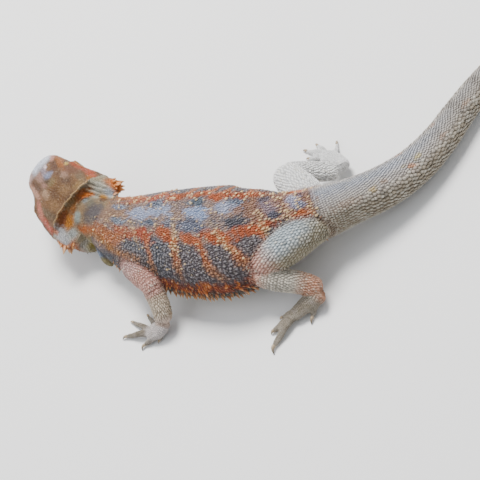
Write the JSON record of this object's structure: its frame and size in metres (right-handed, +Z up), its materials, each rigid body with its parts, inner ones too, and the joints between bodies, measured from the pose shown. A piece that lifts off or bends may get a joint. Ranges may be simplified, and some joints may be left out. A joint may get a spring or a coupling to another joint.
{
  "type": "bearded dragon lizard",
  "caption": "Life-size adult bearded dragon at rest on the floor, head and tail turned to its right, with beard spines, side fringe and splayed legs.",
  "frame": {"origin": "middle of the whole animal's footprint, on the floor it rests on", "axes": "+Z up; the trunk runs along X with the head towards -X and the tail leaving towards +X; the animal's left side faces -Y"},
  "size_m": [0.3937, 0.2824, 0.0493],
  "materials": {
    "trunk_skin": "matt scaled skin, lilac grey with orange stripes",
    "head_skin": "matt scaled skin, tan crown, orange spines, pale grey beard",
    "limb_skin": "matt scaled skin, warm grey",
    "tail_skin": "matt scaled skin, pale grey",
    "claws": "smooth horn",
    "eyes": "wet gloss"
  },
  "bodies": {
    "root": {"beard": "head_skin", "belly": "trunk_skin", "chest": "trunk_skin", "eye_left": "eyes", "eye_right": "eyes", "head": "head_skin", "hips": "trunk_skin", "left_arm_forearm": "limb_skin", "left_arm_hand": "limb_skin", "left_arm_hand_claw_1": "claws", "left_arm_hand_claw_2": "claws", "left_arm_hand_claw_3": "claws", "left_arm_hand_claw_4": "claws", "left_arm_hand_claw_5": "claws", "left_arm_upper": "limb_skin", "left_leg_foot": "limb_skin", "left_leg_foot_claw_1": "claws", "left_leg_foot_claw_2": "claws", "left_leg_foot_claw_3": "claws", "left_leg_foot_claw_4": "claws", "left_leg_foot_claw_5": "claws", "left_leg_shank": "limb_skin", "left_leg_thigh": "limb_skin", "lower_jaw": "head_skin", "neck": "trunk_skin", "right_arm_forearm": "limb_skin", "right_arm_hand": "limb_skin", "right_arm_hand_claw_1": "claws", "right_arm_hand_claw_2": "claws", "right_arm_hand_claw_3": "claws", "right_arm_hand_claw_4": "claws", "right_arm_hand_claw_5": "claws", "right_arm_upper": "limb_skin", "right_leg_foot": "limb_skin", "right_leg_foot_claw_1": "claws", "right_leg_foot_claw_2": "claws", "right_leg_foot_claw_3": "claws", "right_leg_foot_claw_4": "claws", "right_leg_foot_claw_5": "claws", "right_leg_shank": "limb_skin", "right_leg_thigh": "limb_skin", "shoulders": "trunk_skin", "tail_base": "tail_skin", "tail_front": "tail_skin", "tail_middle": "tail_skin", "tail_rear": "tail_skin", "tail_thin": "tail_skin", "tail_tip": "tail_skin"}
  },
  "joints": []
}
